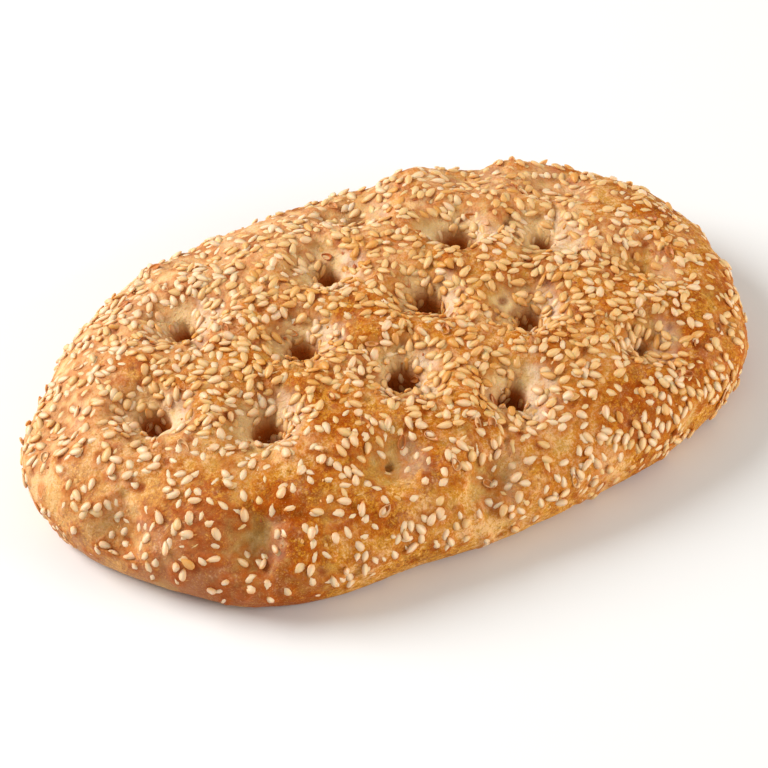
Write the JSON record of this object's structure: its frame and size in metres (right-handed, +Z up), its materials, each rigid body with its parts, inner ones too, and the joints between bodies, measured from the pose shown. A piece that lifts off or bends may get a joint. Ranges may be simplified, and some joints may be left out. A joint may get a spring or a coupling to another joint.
{
  "type": "lagana flat bread",
  "caption": "Long oval flat bread with finger dimples pressed into its domed crown, a golden crust strewn with sesame seeds and a flat base.",
  "frame": {"origin": "middle of the flat base, where the loaf rests", "axes": "+X along the loaf towards its blunt end, +Y across it, +Z up through the dimpled crown"},
  "size_m": [0.1777, 0.1097, 0.0308],
  "materials": {
    "crust": "baked golden crust with a soft egg-wash sheen, blistered, strewn with toasted sesame seeds"
  },
  "bodies": {
    "root": {"lagana": "crust"}
  },
  "joints": []
}
